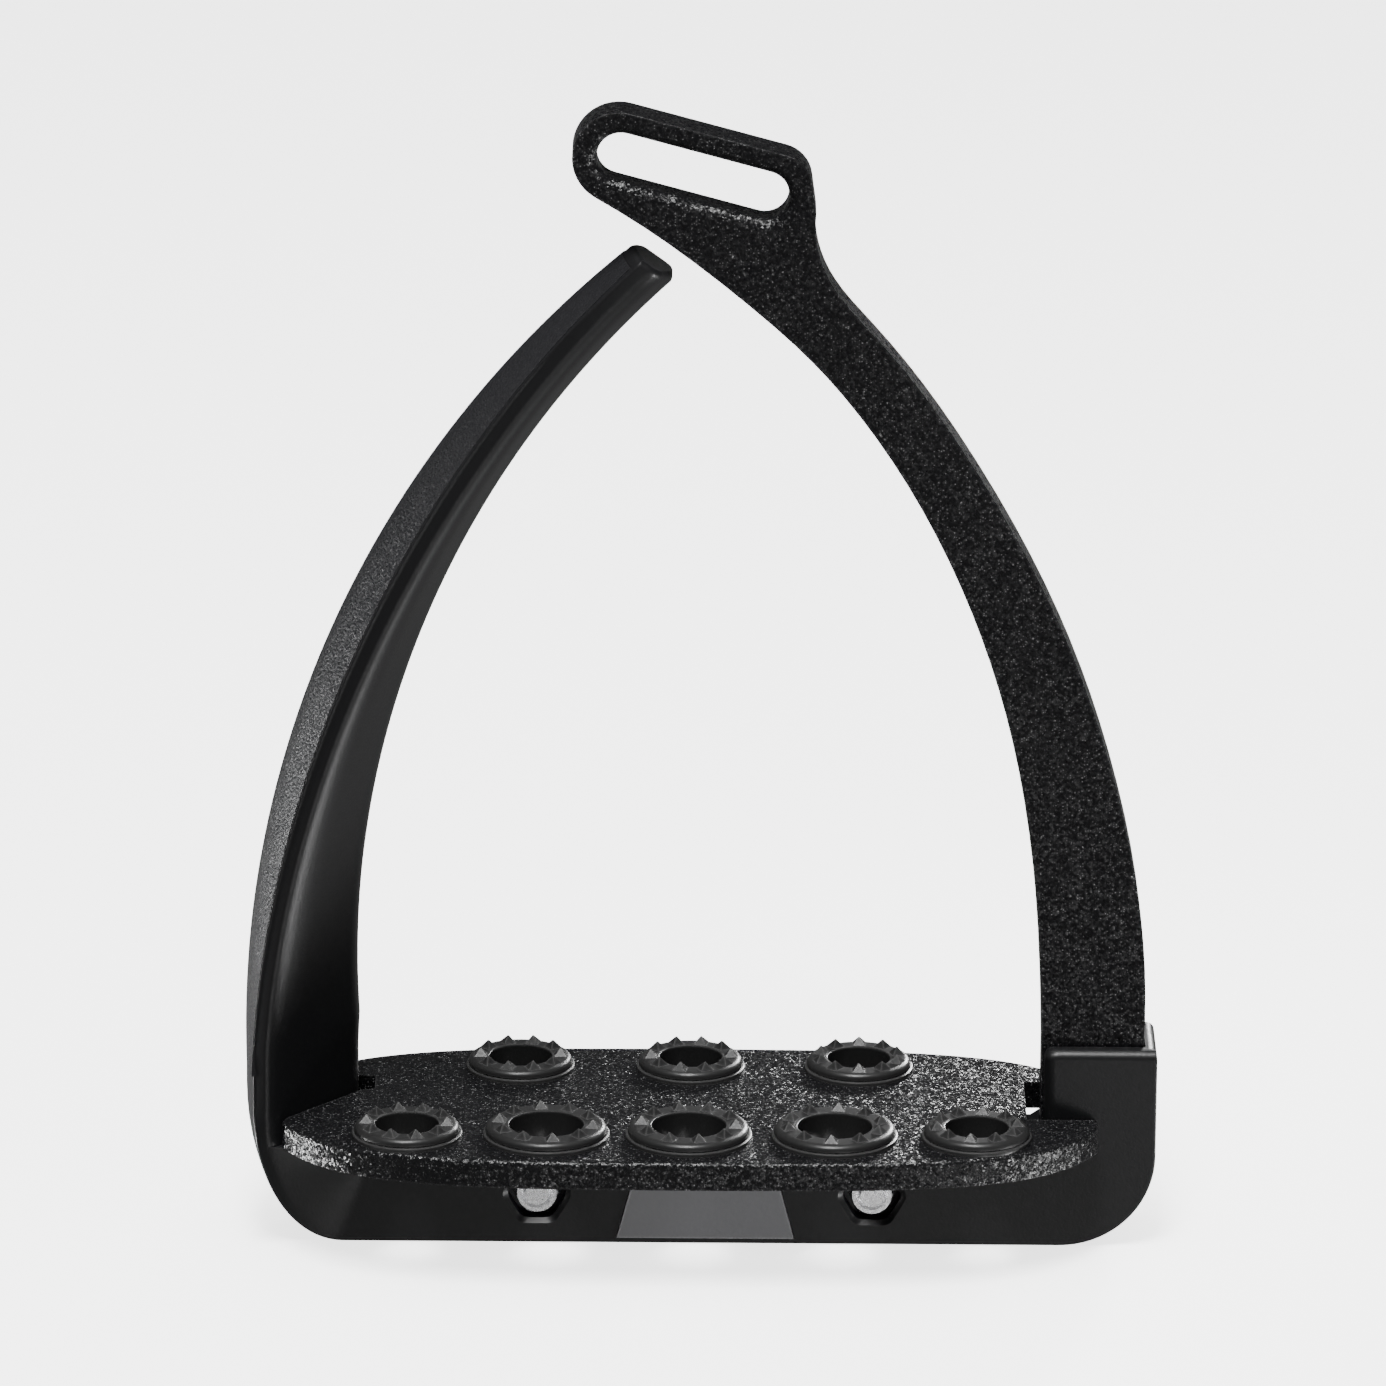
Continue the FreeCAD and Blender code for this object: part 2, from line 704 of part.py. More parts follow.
def cross_bolt(side):
    x = BOLT_XS[side]
    head_front = BASE_BACK - BOLT_HEAD_HEIGHT - BOLT_HEAD_SINK
    shaft = cylinder_y(x, BOLT_Z, BOLT_RADIUS, BOLT_TIP_Y, head_front + BOLT_HEAD_SINK)
    head = cylinder_y(x, BOLT_Z, BOLT_HEAD_RADIUS, head_front, head_front + BOLT_HEAD_HEIGHT)
    key_front = head_front + BOLT_HEAD_HEIGHT - BOLT_SOCKET_DEPTH
    key = hexagon_y(x, BOLT_Z, BOLT_SOCKET_FLATS, key_front, BASE_BACK + 1)
    return shaft.fuse(head).cut(key).removeSplitter()


def save(name, shape):
    shape.exportStep("parts/" + name + ".step")
    box = shape.BoundBox
    print(name, len(shape.Solids), shape.isValid(), round(shape.Volume),
          [round(v, 1) for v in (box.XMin, box.XMax, box.YMin, box.YMax, box.ZMin, box.ZMax)])


save("base_housing", base_housing())
save("inner_arm", inner_arm())
save("outer_arm", outer_arm())
save("outer_arm_cover", outer_arm_cover())
save("spring_core_blade", spring_blade())
save("spring_core_foot", spring_core_foot().cut(bolt_hole("left")))
save("tread_plate", tread_plate())
save("badge_plate", badge_plate())
for name, (x, y, turn, sizes) in CLEATS.items():
    save("cleat_" + name, cleat(x, y, turn, sizes))
    save("retainer_" + name, retainer(x, y, sizes))
for side in BOLT_XS:
    save("hex_nut_" + side, hex_nut(side))
    save("cross_bolt_" + side, cross_bolt(side))
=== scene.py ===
import json
import math

import bmesh
import bpy
from mathutils import Matrix, Vector


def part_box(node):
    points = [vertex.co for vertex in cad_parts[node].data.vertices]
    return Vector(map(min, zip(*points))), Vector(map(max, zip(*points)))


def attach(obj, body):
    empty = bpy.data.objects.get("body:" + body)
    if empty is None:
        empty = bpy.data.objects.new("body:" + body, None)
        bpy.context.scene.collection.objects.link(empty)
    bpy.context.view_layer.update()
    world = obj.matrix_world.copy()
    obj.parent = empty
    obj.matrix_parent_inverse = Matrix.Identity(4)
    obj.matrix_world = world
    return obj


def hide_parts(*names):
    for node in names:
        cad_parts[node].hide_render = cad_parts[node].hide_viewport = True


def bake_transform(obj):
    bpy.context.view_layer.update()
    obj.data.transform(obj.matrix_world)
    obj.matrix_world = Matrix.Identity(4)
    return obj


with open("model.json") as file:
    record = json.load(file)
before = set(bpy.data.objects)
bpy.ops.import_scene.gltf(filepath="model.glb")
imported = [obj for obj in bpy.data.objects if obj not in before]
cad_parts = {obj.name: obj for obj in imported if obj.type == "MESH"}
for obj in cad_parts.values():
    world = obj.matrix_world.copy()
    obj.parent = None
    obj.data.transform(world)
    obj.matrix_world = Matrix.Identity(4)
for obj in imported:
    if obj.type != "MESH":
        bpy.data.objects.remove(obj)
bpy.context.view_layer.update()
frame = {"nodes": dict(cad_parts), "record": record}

MM = 0.001

# Flexible arm, in mm: two arcs seen from the front, each as centre x, centre z, radius.
# Depths are y at the ridge, at the front edge of the inner side, and at the back.
SECTION_CENTRE = (109.0, 42.0)
OUTER_ARC = (105.45, 36.7, 184.7)
INNER_ARC = (111.75, 47.3, 171.8)
TIP_ANGLE = math.radians(131.6)
TIP_SLANT, TIP_SLANT_START = math.radians(0.65), 0.9
TIP_ROUND = 1.3
ARM_LENGTH = 151.0
HINGE_Z = 36.7
HINGE_X = -69.5
ROOT_LEFT, ROOT_RIGHT = -79.3, -60.0
CROWN = 2.0
ROOT_DEPTH = (-9.7, 7.0, 12.5)
TIP_DEPTH = (-4.9, 1.0, 7.0)
ROOT_CREASE, TIP_CREASE, CREASE_BULGE = 1.8, 2.0, 3.5
CREASE_POWER = 1.5
RIDGE_WIDTH, RIDGE_MARGIN, RIDGE_START = 3.8, 2.5, 0.5
RIDGE_SOFTNESS, RIDGE_POINTS = 0.4, 6
GROOVE, GROOVE_FADE_START = 0.35, 0.75
EDGE_ROUND, EDGE_ROUND_WIDTH, EDGE_SHARE = 2.0, 16.0, 0.42

# Groove line: distance past the crease in mm and in ridge widths, depth in grooves
GROOVE_LINE = ((0.15, 0.0, 1.9), (0.0, 0.25, 0.95))

# Shape of the outer face: crown at the back, crease at the front, groove beside the crease.
# Its steps run from the back (1) towards the front (-1).
ROOT_FACE = (CROWN, ROOT_CREASE, GROOVE)
LOW_FACE = (1.4, 1.4, 0.1)
FACE_STEPS = (1.0, 0.75, 0.5, 0.25, 0.0, -0.25, -0.5, -0.75, -0.94)

# Base bar and socket, in mm
BAR_TOP = 18.7
BAR_DEPTH = (-6.0, -6.0, 11.5)
BAR_FACE = (0.0, 0.0, 0.0)
LEFT_CORNER = (17.0, 27.0)
RIGHT_CORNER = 16.6
SOCKET_LEFT, SOCKET_RIGHT, SOCKET_TOP = 59.8, 79.5, 36.0
SOCKET_ROUND = 1.6
POCKET_X, POCKET_Y, POCKET_FLOOR = (55.0, 77.45), (-3.05, 5.05), 19.0
POCKET_OVERRUN = 5.0
BAR_STEPS = (-50.0, -38.0, -16.0, 14.0, 24.0, 42.0, 56.0)
SOCKET_STEPS = (24.0, 30.0)
SOCKET_FOOT_X, SOCKET_FOOT_RISE = 58.0, 1.2
ROOT_JOIN_Z = 31.5
SEAT_RUN, SEAT_DIP, SEAT_SLANT = 4.0, 0.02, 2.5

# Recesses, in mm: hexagon radius and y of each step of a nut's recess
NUT_RECESS = ((7.0, -7.0), (6.3, -6.0), (5.4, -5.2), (5.3, -2.8))
NUT_RECESS_ROUND = 1.3
HEAD_RECESS_RADIUS, HEAD_RECESS_Y = 3.9, (9.8, 13.0)
BADGE_GAP, BADGE_SLANT = 0.12, 4.3

# Eye slot and textured strip, in mm
EYE_X, EYE_Z, EYE_TILT = -2.35, 191.9, math.radians(-15.0)
SLOT_LENGTH, SLOT_HEIGHT, SLOT_LIP, SLOT_OVERRUN = 33.6, 8.2, 1.9, 1.0
LIP_SEGMENTS, SLOT_SEGMENTS = 6, 16
STRIP_BACK_MARGIN, STRIP_FRONT_MARGIN = 0.5, 0.75
STRIP_PROUD, STRIP_SUNK = 0.10, 0.8
STRIP_TIP, STRIP_ROOT = 0.985, -0.03
STRIP_STEPS = [1.0 - 0.1 * i for i in range(21)]

# Cleats: turn of the first point in degrees, then flange, hole and shank radius in mm
LARGE, SMALL = (11.0, 6.4, 7.6), (9.6, 5.45, 6.5)
CLEATS = {
    "front_1": (-76.0, SMALL), "front_2": (-82.0, LARGE), "front_3": (-78.0, LARGE),
    "front_4": (-95.0, LARGE), "front_5": (-100.0, SMALL),
    "back_1": (-71.0, SMALL), "back_2": (-69.0, SMALL), "back_3": (-91.0, SMALL),
}
TREAD_TOP, CLEAT_HEIGHT = 23.6, 2.2
POINT_COUNT, POINT_HALF, POINT_HALF_TOP, POINT_HEIGHT = 10, 1.1, 0.1, 1.25
POINT_SINK, POINT_SHIFT = 0.1, 0.25

# Cleat profile, in mm. Hole rim: distance outside the hole, depth below the cleat's top.
# Lip: distance inside the flange's edge, height over the tread.
HOLE_RIM = ((0.0, 0.35), (0.12, 0.1), (0.3, 0.0))
SHOULDER_INSET, SHOULDER_WIDTH, SHOULDER_DROP = 1.75, 1.3, 1.0
LIP = (
    (0.42, 0.95), (0.62, 0.86), (0.62, 0.78), (0.30, 0.74), (0.08, 0.62), (0.0, 0.40), (0.0, 0.0),
)

# Nuts, in mm
NUT_BORE, NUT_BORE_RIM, NUT_FACE = 2.05, 2.75, 3.45
NUT_BORE_CHAMFER, NUT_CHAMFER, NUT_CORNER_SLOPE, NUT_BLUNT = 0.7, 0.35, 0.55, 0.12
NUT_POINTS = 48

ARM_STATIONS = 60
CORNER_STATIONS = 18
SEAT_STATIONS = 4
CORNER_SEGMENTS = 5

# Edges: rounding in mm, and angles in degrees above which shading stays sharp
RIGID_ARM_EDGE = 0.7
CLEAT_SHARP, NUT_SHARP = 32.0, 30.0

# Coatings: bump and lighter edge in mm, that edge being partly wear and partly a painted edge highlight,
# painted glints as shares of their cells
BUMP_HEIGHT, WEAR_AND_SHEEN_EDGE = 0.25, 0.6
GLINT_CELL_SCALE, PAINTED_GLINT_CORE, PAINTED_GLINT_RIM, PAINTED_GLINT_RARITY = 1.3, 0.18, 0.34, 3.0
FACING_FLAT, FACING_EDGE = 1.0, 0.8
# Lighter colour of the painted glints and of the edges, which are partly wear and partly painted
# highlight
BRIGHT_FACTOR, BRIGHT_LIFT = 6, 0.35
ROUGH_SPREAD, ROUGH_LEAST = 0.08, 0.05
COAT_SPECULAR = 0.3
METAL_GRAIN, METAL_BUMP, METAL_WEAR_AND_SHEEN = 1400.0, 0.06, 0.1

# Studio, in metres; the horizon is given as the height of a unit view direction
FLOOR_REACH, BACKDROP_RADIUS = 6.0, 7.0
FLOOR_GLOW, BACKDROP_GLOW = 2.6, 3.4
SKY_GLOW, GROUND_GLOW = 0.06, 0.30
HORIZON_HIGH, HORIZON_LOW = 0.05, -0.30
CAMERA_DISTANCE, CAMERA_X, CAMERA_AIM_Z = 1.850, -0.00175, 0.0236
CAMERA_ELEVATION, CAMERA_PITCH, CAMERA_ROLL = 20.0, 17.77, 0.4
CAMERA_SENSOR, CAMERA_LENS, CAMERA_REACH = 36.0, 274.8, 50.0


def mm(x, y, z):
    return Vector((x * MM, y * MM, z * MM))


def mesh_object(name, bm):
    """New object from a bmesh, with its faces turned outwards."""
    mesh = bpy.data.meshes.new(name)
    bmesh.ops.recalc_face_normals(bm, faces=bm.faces)
    bm.to_mesh(mesh)
    bm.free()
    obj = bpy.data.objects.new(name, mesh)
    bpy.context.scene.collection.objects.link(obj)
    return obj


def smooth(obj, angle=40.0):
    """Smooth shading, except over edges sharper than the angle."""
    for polygon in obj.data.polygons:
        polygon.use_smooth = True
    modifier = obj.modifiers.new("weighted", "WEIGHTED_NORMAL")
    modifier.keep_sharp = True
    obj.data.set_sharp_from_angle(angle=math.radians(angle))


def bevel(obj, width):
    """Round the sharp edges of an object by a width in mm."""
    modifier = obj.modifiers.new("bevel", "BEVEL")
    modifier.width = width * MM
    modifier.segments = 3
    modifier.limit_method = "ANGLE"
    modifier.angle_limit = math.radians(35.0)
    modifier.harden_normals = True


def baked(obj):
    """The object with its modifiers turned into real geometry."""
    graph = bpy.context.evaluated_depsgraph_get()
    mesh = bpy.data.meshes.new_from_object(obj.evaluated_get(graph))
    obj.modifiers.clear()
    obj.data = mesh
    return obj


def cut(obj, cutter):
    """Take the cutter away from the object, and remove the cutter."""
    modifier = obj.modifiers.new("cut", "BOOLEAN")
    modifier.operation = "DIFFERENCE"
    modifier.solver = "EXACT"
    modifier.object = cutter
    baked(obj)
    bpy.data.objects.remove(cutter)


# Swept polymer skin ------------------------------------------------------


def ray_to_circle(angle, arc):
    """Distance from the section centre to an arc along a ray."""
    cx, cz, radius = arc
    dx, dz = math.cos(angle), math.sin(angle)
    ox, oz = SECTION_CENTRE[0] - cx, SECTION_CENTRE[1] - cz
    b = ox * dx + oz * dz
    return -b + math.sqrt(b * b - (ox * ox + oz * oz - radius * radius))


def mix(a, b, t):
    return a + (b - a) * t


def mix_all(a, b, t):
    return tuple(mix(p, q, t) for p, q in zip(a, b))


def ease(t):
    """Smooth step from 0 to 1."""
    t = min(1.0, max(0.0, t))
    return t * t * (3 - 2 * t)


def arm_station(share):
    """Outer point, inner point, depths and face of the flexible arm at a share of its length."""
    cx, cz = SECTION_CENTRE
    root = math.pi - math.atan2(HINGE_Z - cz, cx - HINGE_X)
    angle = mix(root, TIP_ANGLE, share)
    slant = TIP_SLANT * ease((share - TIP_SLANT_START) / (1 - TIP_SLANT_START))
    ends = []
    for arc, turn in ((OUTER_ARC, angle), (INNER_ARC, angle - slant)):
        d = ray_to_circle(turn, arc)
        ends.append((cx + d * math.cos(turn), cz + d * math.sin(turn)))
    crease = mix(ROOT_CREASE, TIP_CREASE, share) + CREASE_BULGE * math.sin(math.pi * share)
    groove = GROOVE * (1 - ease((share - GROOVE_FADE_START) / (1 - GROOVE_FADE_START)))
    return ends[0], ends[1], mix_all(ROOT_DEPTH, TIP_DEPTH, share), (CROWN, crease, groove)


def corner_outer(turn):
    """Point on the round lower-left corner; turn 0 is its top and pi / 2 its foot."""
    wide, high = LEFT_CORNER
    return ROOT_LEFT + wide * (1 - math.cos(turn)), high * (1 - math.sin(turn))


def left_corner_stations():
    """Upright root above the plate's seat, then a fan round the corner below it."""
    stations = []
    seat_turn = math.asin(1 - BAR_TOP / LEFT_CORNER[1])
    for k in range(SEAT_STATIONS):
        share = k / (SEAT_STATIONS - 1)
        x, z = corner_outer(seat_turn * share)
        face = mix_all(ROOT_FACE, LOW_FACE, share)
        stations.append(((x, z), (ROOT_RIGHT, z), ROOT_DEPTH, face))
    flat = (ROOT_DEPTH[0], ROOT_DEPTH[0] + SEAT_SLANT, ROOT_DEPTH[2])
    for k in range(CORNER_STATIONS + 1):
        t = k / CORNER_STATIONS
        inner = (ROOT_RIGHT + SEAT_RUN * t, BAR_TOP - SEAT_DIP)
        depth = mix_all(flat, BAR_DEPTH, ease(t))
        outer = corner_outer(mix(seat_turn, math.pi / 2, t))
        stations.append((outer, inner, depth, mix_all(LOW_FACE, BAR_FACE, ease(t))))
    return stations


def sweep_stations():
    """Stations from the arm's tip, round the base, to the top of the socket."""
    first = 1 - TIP_ROUND / ARM_LENGTH
    stations = [arm_station(first * (1 - i / ARM_STATIONS)) for i in range(ARM_STATIONS + 1)]
    stations.append(((ROOT_LEFT, ROOT_JOIN_Z), (ROOT_RIGHT, ROOT_JOIN_Z), ROOT_DEPTH, ROOT_FACE))
    stations += left_corner_stations()
    for x in BAR_STEPS:
        stations.append(((x, 0.0), (x, BAR_TOP), BAR_DEPTH, BAR_FACE))
    for i in range(CORNER_STATIONS + 1):
        share = i / CORNER_STATIONS
        turn = share * math.pi / 2
        x = SOCKET_RIGHT - RIGHT_CORNER * (1 - math.sin(turn))
        z = RIGHT_CORNER * (1 - math.cos(turn))
        inner = (mix(SOCKET_FOOT_X, SOCKET_LEFT, share), mix(BAR_TOP, BAR_TOP + SOCKET_FOOT_RISE, share))
        stations.append(((x, z), inner, BAR_DEPTH, BAR_FACE))
    for z in (*SOCKET_STEPS, SOCKET_TOP - SOCKET_ROUND):
        stations.append(((SOCKET_RIGHT, z), (SOCKET_LEFT, z), BAR_DEPTH, BAR_FACE))
    return stations


def rounded(points, radius, segments):
    """Corner-rounded copy of a 2-D polygon with a constant number of points."""
    out = []
    count = len(points)
    for i, corner in enumerate(points):
        corner = Vector(corner)
        before = Vector(points[i - 1]) - corner
        after = Vector(points[(i + 1) % count]) - corner
        reach = min(radius, before.length * EDGE_SHARE, after.length * EDGE_SHARE)
        a = corner + before.normalized() * reach
        b = corner + after.normalized() * reach
        for k in range(segments + 1):
            t = k / segments
            out.append(a * (1 - t) ** 2 + corner * 2 * t * (1 - t) + b * t ** 2)
    return out


def face_drop(step, crown, crease):
    """Depth of the outer face below its crest; step 1 is the back, -1 the front."""
    return crown * step ** 2 if step > 0 else crease * abs(step) ** CREASE_POWER


def outer_line(front, back, face, shrink):
    """Back-to-front (depth, y) points of the outer face."""
    crown, crease, _ = face
    middle, half = (front + back) / 2, (back - front) / 2
    return [(shrink + face_drop(k, crown, crease), middle + half * k) for k in FACE_STEPS]


def bend(start, turn, end, t):
    """Point on the curve that leaves start towards turn and arrives at end."""
    return mix_all(mix_all(start, turn, t), mix_all(turn, end, t), t)


def section_ring(station, shrink=0.0):
    """Rounded cross-section of the skin at a station."""
    outer, inner, (front, slant, back), face = station
    _, crease, groove = face
    o, n = Vector(outer), Vector(inner)
    width = (n - o).length
    along = (n - o).normalized()
    front, slant, back = front + shrink, slant + shrink, back - shrink
    ridge = min(RIDGE_WIDTH, width - crease - RIDGE_MARGIN)
    polygon = outer_line(front, back, face, shrink)
    polygon += [(crease + d + k * ridge, front + depth * groove) for d, k, depth in GROOVE_LINE]
    foot = (width - shrink, slant)
    start, turn = (crease + RIDGE_START * ridge, front), (crease + ridge, front)
    end = mix_all(turn, foot, RIDGE_SOFTNESS)
    polygon += [bend(start, turn, end, k / RIDGE_POINTS) for k in range(RIDGE_POINTS + 1)]
    polygon += [foot, (width - shrink, back)]
    ring = []
    for d, y in rounded(polygon, EDGE_ROUND * min(1.0, width / EDGE_ROUND_WIDTH), CORNER_SEGMENTS):
        p = o + along * d
        ring.append(mm(p.x, y, p.y))
    return ring


def loft(bm, rings, caps=True):
    """Faces between rings of equal length, closed at both ends if caps is set."""
    rows = [[bm.verts.new(p) for p in ring] for ring in rings]
    count = len(rows[0])
    for a, b in zip(rows, rows[1:]):
        for i in range(count):
            j = (i + 1) % count
            bm.faces.new((a[i], a[j], b[j], b[i]))
    if caps:
        bm.faces.new(rows[0])
        bm.faces.new(reversed(rows[-1]))


def rounded_end(station, direction, radius, steps=4):
    """Shrinking rings that round off the end of a sweep."""
    rings = []
    for k in range(1, steps + 1):
        a = k / steps * math.pi / 2
        shift = direction * radius * math.sin(a) * MM
        shrink = radius * (1 - math.cos(a))
        rings.append([p + shift for p in section_ring(station, shrink)])
    return rings


def prism(name, points, y0, y1):
    """Closed prism along Y from a front outline in mm."""
    bm = bmesh.new()
    loft(bm, [[mm(x, y, z) for x, z in points] for y in (y0, y1)])
    return mesh_object(name, bm)


def circle(x, z, radius, count):
    turn = 2 * math.pi / count
    return [(x + radius * math.cos(i * turn), z + radius * math.sin(i * turn)) for i in range(count)]


def fastener_places():
    """Centres of the two cross bolts in mm, read from the frame."""
    places = []
    for side in ("left", "right"):
        low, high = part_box("cross_bolt_" + side)
        places.append(((low.x + high.x) / 2 / MM, (low.z + high.z) / 2 / MM))
    return places


def cutters():
    """The socket's pocket, the recesses of nuts and bolt heads, and the badge's seat."""
    made = []
    x0, x1 = POCKET_X
    z0, z1 = POCKET_FLOOR, SOCKET_TOP + POCKET_OVERRUN
    made.append(prism("cut_pocket", [(x0, z0), (x1, z0), (x1, z1), (x0, z1)], *POCKET_Y))
    for i, (x, z) in enumerate(fastener_places()):
        bm = bmesh.new()
        rings = []
        for radius, y in NUT_RECESS:
            ring = rounded(circle(x, z, radius, 6), NUT_RECESS_ROUND, 3)
            rings.append([mm(p.x, y, p.y) for p in ring])
        loft(bm, rings)
        made.append(mesh_object(f"cut_nut_{i}", bm))
        made.append(prism(f"cut_head_{i}", circle(x, z, HEAD_RECESS_RADIUS, 40), *HEAD_RECESS_Y))
    made.append(badge_cutter())
    return made


def badge_cutter():
    """Seat of the badge, a trapezoid wider at its foot."""
    low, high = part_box("badge_plate")
    x0, x1, z0, z1 = low.x / MM, high.x / MM, low.z / MM, high.z / MM
    gap = BADGE_GAP
    outline = [
        (x0 - gap, z0 - gap), (x1 + gap, z0 - gap),
        (x1 - BADGE_SLANT + gap, z1 + gap), (x0 + BADGE_SLANT - gap, z1 + gap),
    ]
    return prism("cut_badge", outline, low.y / MM, high.y / MM)


def polymer_skin():
    """Base, socket and flexible arm as one moulding."""
    stations = sweep_stations()
    up = Vector((0, 0, 1))
    tip_a, tip_b = stations[0][:2]
    side = Vector((tip_b[0] - tip_a[0], 0, tip_b[1] - tip_a[1])).normalized()
    tip_way = Vector((-side.z, 0, side.x))
    if tip_way.z < 0:
        tip_way = -tip_way
    rings = list(reversed(rounded_end(stations[0], tip_way, TIP_ROUND)))
    rings += [section_ring(s) for s in stations]
    rings += rounded_end(stations[-1], up, SOCKET_ROUND)
    bm = bmesh.new()
    loft(bm, rings)
    obj = mesh_object("polymer_skin", bm)
    for cutter in cutters():
        cut(obj, cutter)
    return obj


def strip_ring(share, lift):
    """Points just over the outer face of the flexible arm, from back to front."""
    outer, inner, (front, _, back), (crown, crease, _) = arm_station(share)
    o = Vector(outer)
    along = (Vector(inner) - o).normalized()
    middle, half = (front + back) / 2, (back - front) / 2
    ring = []
    for k in STRIP_STEPS:
        margin = STRIP_BACK_MARGIN if k > 0 else STRIP_FRONT_MARGIN
        step = k * (1 - margin / half)
        p = o + along * (face_drop(step, crown, crease) - lift)
        ring.append(mm(p.x, middle + half * step, p.y))
    return ring


def grip_strip():
    """Textured strip lying on the crowned outer face of the flexible arm."""
    bm = bmesh.new()
    rings = []
    for k in range(ARM_STATIONS + 1):
        share = mix(STRIP_TIP, STRIP_ROOT, k / ARM_STATIONS)
        high = strip_ring(share, STRIP_PROUD)
        low = strip_ring(share, -STRIP_SUNK)
        rings.append(high + list(reversed(low)))
    loft(bm, rings)
    return mesh_object("grip_strip", bm)


def slot_cutter():
    """Stadium through the eye, flaring into a round lip on both faces."""
    low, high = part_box("inner_arm")
    front, back = low.y / MM, high.y / MM
    half = SLOT_LENGTH / 2 - SLOT_HEIGHT / 2
    turn = Matrix.Rotation(EYE_TILT, 2)
    profile = []
    for k in range(LIP_SEGMENTS + 1):
        a = k / LIP_SEGMENTS * math.pi / 2
        profile.append((front + SLOT_LIP * (1 - math.cos(a)), SLOT_LIP * (1 - math.sin(a))))
    profile = [(front - SLOT_OVERRUN, SLOT_LIP)] + profile
    mirrored = [(front + back - y, grow) for y, grow in reversed(profile)]
    rings = []
    for y, grow in profile + mirrored:
        radius = SLOT_HEIGHT / 2 + grow
        ring = []
        for side, start in ((1, -math.pi / 2), (-1, math.pi / 2)):
            for i in range(SLOT_SEGMENTS + 1):
                a = start + i / SLOT_SEGMENTS * math.pi
                p = turn @ Vector((side * half + radius * math.cos(a), radius * math.sin(a)))
                ring.append(mm(EYE_X + p.x, y, EYE_Z + p.y))
        rings.append(ring)
    bm = bmesh.new()
    loft(bm, rings)
    return mesh_object("cut_slot", bm)


def rigid_arm():
    """The flat arm from the frame, with a rounded slot and softened edges."""
    obj = bpy.data.objects.new("rigid_arm", frame["nodes"]["inner_arm"].data.copy())
    bpy.context.scene.collection.objects.link(obj)
    cut(obj, slot_cutter())
    return obj


def lathe(bm, centre, profile, count=72):
    """Ring of revolution from (radius, height) points in mm; the profile closes on itself."""
    rows = []
    for i in range(count):
        a = 2 * math.pi * i / count
        places = [mm(r * math.cos(a), r * math.sin(a), h) for r, h in profile]
        rows.append([bm.verts.new(centre + place) for place in places])
    size = len(profile)
    for i in range(count):
        a, b = rows[i], rows[(i + 1) % count]
        for k in range(size):
            m = (k + 1) % size
            bm.faces.new((a[k], b[k], b[m], a[m]))


def grip_point(bm, centre, radius, angle):
    """Four-sided point standing on a cleat, its foot square to the ring."""
    turn = Matrix.Rotation(angle, 3, "Z")
    rows = []
    for half, z in ((POINT_HALF, -POINT_SINK), (POINT_HALF, 0.0), (POINT_HALF_TOP, POINT_HEIGHT)):
        corners = ((-half, -half), (half, -half), (half, half), (-half, half))
        rows.append([centre + turn @ mm(radius + u, v, z) for u, v in corners])
    loft(bm, rows)


def cleat(name, turn, sizes):
    """Ring cleat with a rounded shoulder, a groove over its lip and ten points."""
    flange, hole, shank = sizes
    low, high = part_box("cleat_" + name)
    top = TREAD_TOP + CLEAT_HEIGHT
    centre = Vector(((low.x + high.x) / 2, (low.y + high.y) / 2, 0.0))
    foot = low.z / MM
    profile = [(hole, foot)] + [(hole + d, top - depth) for d, depth in HOLE_RIM]
    for k in range(7):
        a = math.radians(15 * k)
        r = flange - SHOULDER_INSET + SHOULDER_WIDTH * math.sin(a)
        profile.append((r, top - SHOULDER_DROP + SHOULDER_DROP * math.cos(a)))
    profile += [(flange - d, TREAD_TOP + height) for d, height in LIP]
    profile += [(shank, TREAD_TOP), (shank, foot)]
    bm = bmesh.new()
    lathe(bm, centre, profile)
    middle = (hole + HOLE_RIM[-1][0] + flange - SHOULDER_INSET) / 2 + POINT_SHIFT
    for i in range(POINT_COUNT):
        angle = math.radians(turn + 360 * i / POINT_COUNT)
        grip_point(bm, centre + mm(0, 0, top), middle, angle)
    return mesh_object("ring_" + name, bm)


def nut_ring(x, z, radii, depths):
    """Points round a nut's axis, with a radius and a depth for each."""
    ring = []
    for i, (radius, y) in enumerate(zip(radii, depths)):
        a = 2 * math.pi * i / NUT_POINTS
        ring.append(mm(x + radius * math.cos(a), y, z + radius * math.sin(a)))
    return ring


def nut_edge(corner, flat):
    """Distance from a nut's axis to its edge all round, with the corners a little blunt."""
    edge = []
    for i in range(NUT_POINTS):
        off_flat = (2 * math.pi * i / NUT_POINTS) % (math.pi / 3) - math.pi / 6
        edge.append(min(corner - NUT_BLUNT, flat / math.cos(off_flat)))
    return edge


def hex_nut(side, x, z):
    """Nut with a chamfered face, round its bolt."""
    low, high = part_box("hex_nut_" + side)
    front, back = low.y / MM, high.y / MM
    corner = (high.x - low.x) / 2 / MM
    flat = corner * math.cos(math.pi / 6)
    edge = nut_edge(corner, flat)
    chamfer = [front + NUT_CHAMFER + NUT_CORNER_SLOPE * (e - flat) for e in edge]

    def even(value):
        return [value] * NUT_POINTS

    rings = [
        nut_ring(x, z, even(NUT_BORE), even(front + NUT_BORE_CHAMFER)),
        nut_ring(x, z, even(NUT_BORE_RIM), even(front)),
        nut_ring(x, z, even(NUT_FACE), even(front)),
        nut_ring(x, z, edge, chamfer),
        nut_ring(x, z, edge, even(back)),
        nut_ring(x, z, even(NUT_BORE), even(back)),
    ]
    bm = bmesh.new()
    loft(bm, rings + rings[:1], caps=False)
    bmesh.ops.remove_doubles(bm, verts=bm.verts, dist=1e-7)
    return mesh_object("nut_" + side, bm)


# Materials ---------------------------------------------------------------


